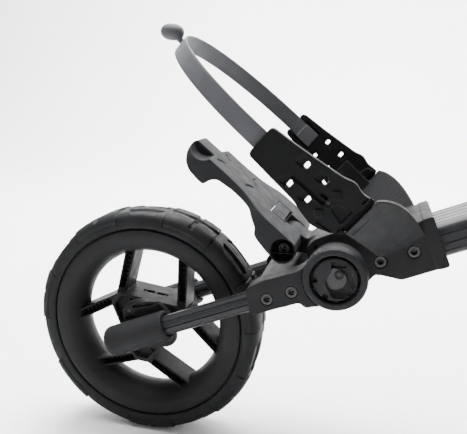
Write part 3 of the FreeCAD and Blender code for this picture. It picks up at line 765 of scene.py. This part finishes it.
def wing():
    outline = rounded([(-17.4, 122), (-20, 90), (-22, 60), (-26, 46), (-29, 29), (-20.5, 7), (-13, 0), (30, 0),
                       (27, 15), (31, 27), (27, 38), (23.5, 64), (20.3, 90), (17.4, 122)], 5)
    thick = WING_THICK
    adds = [prism(outline, -thick, 0)]
    cuts = [
        block(-10.6, 10.6, -thick - 1, 4.2 - thick, 86, 123),
        block(-13.5, 13.5, -thick - 1, 4.2 - thick, 86, 111),
        block(-12.4, 29.4, -5.6, 2, -3, 6.6),
        rod(-1.8, 32.6, 2.6, -thick - 1, 1),
        prism(rounded([(-6.6, 35), (-2.6, 35), (-2.6, 77), (-6.6, 77)], 1.4), -3.2, 1),
        prism(rounded([(-0.6, 36), (2.6, 36), (2.6, 45), (-0.6, 45)], 1.2), -4, 1),
        prism(rounded([(-4, 28), (3, 27), (9, 10), (-9, 10)], 3), -2.4, 1),
        prism([(-23.2, 29), (-21.6, 29), (-19.4, 8), (-12, 8), (-12, 6.4), (-21, 6.4)], -2.4, 1),
        block(20, 27, -2.5, 1, 8, 10),
    ]
    for a in (-12.3, 12.3):
        for h in (49, 72.5):
            cuts.append(block(a - 3.2, a + 3.2, -thick - 1, 1, h - 2.2, h + 2.2))
            ramp_side = loft([[(a + x, y, h + z) for x, y, z in ring] for ring in (
                ((-4.6, 0.5, 0), (4.6, 0.5, 0), (4.6, -5.4, 0), (-4.6, -5.4, 0)),
                ((-4.6, 0.5, 13), (4.6, 0.5, 13), (4.6, 0.2, 13), (-4.6, 0.2, 13)))])
            cuts.append(ramp_side)
            relief = [(a - 5.4, h + 3.4), (a + 5.4, h + 3.4), (a + 5.4, h - 7), (a - 5.4, h - 7)]
            cuts.append(prism(rounded(relief, 1), -thick - 1, 1.4 - thick))
    pads = []
    for a, h in ((-14.6, 33), (10.3, 32.5)):
        diamond = [(a, h - 6), (a + 5.5, h), (a, h + 6), (a - 5.5, h)]
        pads.append(prism(rounded(diamond, 1.4), -1, 1.9))
    shape = combined(adds, cuts)
    lip = prism(rounded([(-17, 10), (-12, 3), (26, 3), (24, 12), (8, 16)], 2), -thick - 1.5, 2 - thick)
    shape = combined([shape, lip] + pads)
    return moved(moulded(shape, FINE * 0.75), WING)


STRAP_THICK = 3.0


def strap_line(t):
    power = 2 / 2.1
    c, s = math.cos(t), math.sin(t)
    return 117.5 * math.copysign(abs(c) ** power, c), 145.0 * abs(s) ** power


def strap():
    """The silicone loop: a flat band with softened edges, its pull ball and the two end blocks."""
    steps = 96
    line = [strap_line(math.pi * i / steps) for i in range(steps + 1)]
    lead = 20.0
    drift = lead * math.tan(WING_FLARE)
    line = [(117.5 - drift, -lead)] + line + [(drift - 117.5, -lead)]
    rings = []
    for i, (y, h) in enumerate(line):
        before, after = Vector(line[max(i - 1, 0)]), Vector(line[min(i + 1, len(line) - 1)])
        d = (after - before).normalized()
        n = Vector((d.y, -d.x))
        ring = []
        for k in range(24):
            angle = 2 * math.pi * k / 24
            c, s = math.cos(angle), math.sin(angle)
            x = 10.2 * math.copysign(abs(c) ** 0.25, c)
            across = STRAP_THICK / 2 * math.copysign(abs(s) ** 0.55, s)
            ring.append((x, y + n.x * across, h + n.y * across))
        rings.append(ring)
    band = loft(rings)
    neck = loft([[(x - 3.0, y, 145.0 + h) for x, y in circle(0, 0, r, 32)]
                 for r, h in bezier_chain([(8.5, -1.2), (5.2, 2), (3.6, 6), (3.2, 11), (3.8, 16)], 4)])
    bead = along(0, 0, bezier_chain([(0.1, -14.2), (4.6, -12.6), (7.6, -9.0), (9.1, -4.5), (9.4, 0), (9.1, 4.5),
                                     (7.6, 9.0), (4.6, 12.6), (0.1, 14.2)], 4))
    lean = Matrix.Rotation(math.radians(55), 4, "Y")
    ball = moved(bead, Matrix.Translation((-2.3, 0, 166.7)) @ lean)
    parts = [band, neck, ball]
    height = -13.5
    for side in (1, -1):
        lug = block(-10.2, 10.2, -0.6, 3.4, -21.5, 0)
        lug = moved(lug, Matrix.Rotation(-WING_FLARE, 4, "X"))
        level = WING_HEIGHT + height
        face = WING_Y - WING_THICK / math.cos(WING_FLARE) + level * math.tan(WING_FLARE)
        lug = moved(lug, Matrix.Translation((0, face, height)))
        parts.append(lug if side == 1 else moved(lug, MIRROR))
    whole = combined(parts)
    turn = Matrix.Translation((WING_X, 0, WING_Z)) @ Matrix.Rotation(-WING_TILT, 4, "Y")
    return moved(moulded(whole, FINE * 0.9), turn @ Matrix.Translation((0, 0, WING_HEIGHT)))


# The wings take the darker copy of the black plastic, whose darker colour is painted shade.
place_pair(wing(), "wing", "frame", SHADED_WING_PLASTIC, "black_plastic")
place(strap(), "strap_skin", "frame", SILICONE, "silicone", "strap")


# Bag foot

FOOT_TOP = 14.3
FOOT_PLAN = [(12, 68), (-38, 68), (-50, 62), (-62, 52), (-76, 45), (-104, 42), (-126, 44), (-146, 40),
             (-155, 30), (-157.5, 16)]
FOOT_SIDE = [(8, FOOT_TOP), (-155, FOOT_TOP), (-157.5, 8), (-154, 0), (-146, -8), (-137, -12), (-124, -13),
             (-114, -13.4), (-112, -5), (-106, 2), (-86, 5), (-57, 6.6), (-50, 2.8), (-38, -2), (-35, -8),
             (-28, -10.5), (-13, -13), (8, -14.5)]


def mirrored_plan(inset=0.0):
    half = [(x, y - inset) for x, y in FOOT_PLAN]
    return half + [(x, -y) for x, y in reversed(half)]


def crescent(x, y, radius, start, end):
    """A shallow moulding mark in the foot's top, deepest in its middle."""
    angles = [math.radians(start + (end - start) * k / 16) for k in range(17)]
    outer = [(x + radius * math.cos(a), y + radius * math.sin(a)) for a in angles]
    inner = [(x + (radius - 3.4 * math.sin(math.pi * k / 16)) * math.cos(a),
              y + (radius - 3.4 * math.sin(math.pi * k / 16)) * math.sin(a)) for k, a in enumerate(angles)]
    return plan(outer + inner[-2:0:-1], FOOT_TOP - 1.5, FOOT_TOP + 2)


def bag_foot():
    body = combined([plan(rounded(mirrored_plan(), 9), -20, 20)], keep=prism(rounded(FOOT_SIDE, 4), -80, 80))
    body = combined([body, rod(0, 0, 14.5, -68, 68)])
    under = combined([plan(rounded(mirrored_plan(3.2), 6), -30, FOOT_TOP - 3.3)],
                     keep=block(-108, -16, -80, 80, -40, 30))
    slit = 1.4
    cuts = [under, rod(0, 0, 17, -20.4, 20.4), block(-16, 30, -20.4, 20.4, -30, 30), rod(0, 0, 5.1, -46, 46)]
    cuts.append(block(-37.8, slit - 19.5, -27 - slit, 27 + slit, 5, 30))
    cuts.append(loft([[(x, y, z) for y, z in ((-27 - slit, 5), (27 + slit, 5), (27 + slit, 20), (-27 - slit, 20))]
                      for x in (-20, 3.4 - 19.5)]))
    cuts += pair(turned(0, 0, [(13.0, 47), (13.0, 67), (13.8, 70)]))
    cuts += pair(loft([[(x, 17.5 + k * 45, z) for x, z in circle(-143, FOOT_TOP + 8 - k * 1.5, 17 + k * 1.5, 64)]
                       for k in (0, 1)]))
    cuts += pair(crescent(-112, 22, 11, 150, 285))
    cuts += pair(crescent(-64, 20, 15, 130, 265))
    shape = combined([body], cuts)
    lie_flat = 62 - math.degrees(SLOPE)
    extras = []
    extras += pair(turned_by(block(-13.6, 13.6, 46, 60, -5.6, -4.2), lie_flat))
    extras += pair(combined([turned(0, 0, [(6.4, 46), (6.4, 57)])], [rod(0, 0, 3, 50, 61)]))
    open_top = turned_by(block(-12, 12, 45, 60, 1, 12), lie_flat)
    cradle = combined([rod(0, 0, 10.4, 46, 55)], [rod(0, 0, 9.0, 47, 56), open_top])
    extras += pair(cradle)
    return moved(moulded(combined([shape] + extras)), FOOT)


def foot_tab():
    shape = block(-37.5, -19.5, -27, 27, FOOT_TOP - 3.3, FOOT_TOP)
    return moved(moulded(shape, FINE * 0.6, 2), FOOT)


place(bag_foot(), "bag_foot_skin", "foot", FOOT_PLASTIC, "foot_plastic", "bag_foot")
place(foot_tab(), "foot_tab_skin", "foot_tab", FOOT_PLASTIC, "foot_plastic", "foot_tab")


# CAD parts that stay as they are

KEPT = {
    BLACK_SCREW: ("yoke_screws", "bracket_screws", "wing_screws", "latch_pin", "fold_bolt"),
    STEEL: ("axle", "foot_pin", "hub_bearing_left", "hub_bearing_right", "hub_sleeve"),
    PLASTIC: ("tube_plug",),
    BUSH_PLASTIC: ("fold_bush_left", "fold_bush_right", "axle_spacer_left", "axle_spacer_right"),
}


def finish_kept():
    for material, nodes in KEPT.items():
        for name in nodes:
            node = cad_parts[name]
            node.data.materials.clear()
            node.data.materials.append(material)


finish_kept()


# Floor, light and camera

def pale_sweep():
    """A floor that turns up into a wall well behind the cart, as a paper roll does."""
    level, half = CAD_BOX[0].z, 5.0
    line = [(-4.0, 0.0), (1.8, 0.0)]
    line += [(1.8 + math.sin(t), 1 - math.cos(t)) for t in np.linspace(0.1, math.pi / 2, 16)]
    line.append((2.8, 4.0))
    verts = [(x, y, level + z) for x in (-half, half) for y, z in line]
    count = len(line)
    sweep = mesh_of(verts, [(i, i + 1, count + i + 1, count + i) for i in range(count - 1)], "sweep")
    sweep.data.shade_smooth()
    material, tree, shader = new_material("pale_paper", Roughness=0.9)
    white = ramp(tree, noise(tree, 2.0), (0.90, 0.90, 0.90), (0.93, 0.93, 0.93))
    tree.links.new(white, shader.inputs["Base Color"])
    sweep.data.materials.append(material)


def area_light(name, place_at, aim, size, power):
    lamp = bpy.data.lights.new(name, "AREA")
    lamp.size = size
    lamp.energy = power
    obj = bpy.data.objects.new(name, lamp)
    obj.location = place_at
    obj.rotation_mode = "QUATERNION"
    obj.rotation_quaternion = (aim - place_at).to_track_quat("-Z", "Y")
    bpy.context.scene.collection.objects.link(obj)


def studio():
    pale_sweep()
    world = bpy.data.worlds.new("studio")
    bpy.context.scene.world = world
    world.use_nodes = True
    background = world.node_tree.nodes["Background"]
    background.inputs["Color"].default_value = (1, 1, 1, 1)
    background.inputs["Strength"].default_value = 0.42
    centre = (CAD_BOX[0] + CAD_BOX[1]) / 2
    area_light("key", centre + Vector((-0.8, -0.3, 1.6)), centre, 0.8, 26.0)
    area_light("top", centre + Vector((-0.3, 0.2, 1.8)), centre, 1.2, 28.0)
    area_light("paper_light", centre + Vector((0, 1.2, 3.0)), centre + Vector((0, 2.8, 0.4)), 2.5, 700.0)


LENS = 46.19
CAMERA_AZIMUTH, CAMERA_PITCH = math.radians(13.68), math.radians(12.84)
CAMERA_FROM_AXLE = Vector((0.2718, -0.6791, 0.2965))      # metres


def camera():
    """The camera stands to the left of the wheel, looking across the cart and down a little."""
    data = bpy.data.cameras.new("camera")
    data.lens = LENS
    data.sensor_width = 36.0
    data.clip_start = 0.01
    obj = bpy.data.objects.new("camera", data)
    obj.location = AXLE + CAMERA_FROM_AXLE
    obj.rotation_euler = (math.pi / 2 - CAMERA_PITCH, 0, CAMERA_AZIMUTH)
    bpy.context.scene.collection.objects.link(obj)
    bpy.context.scene.camera = obj


studio()
camera()
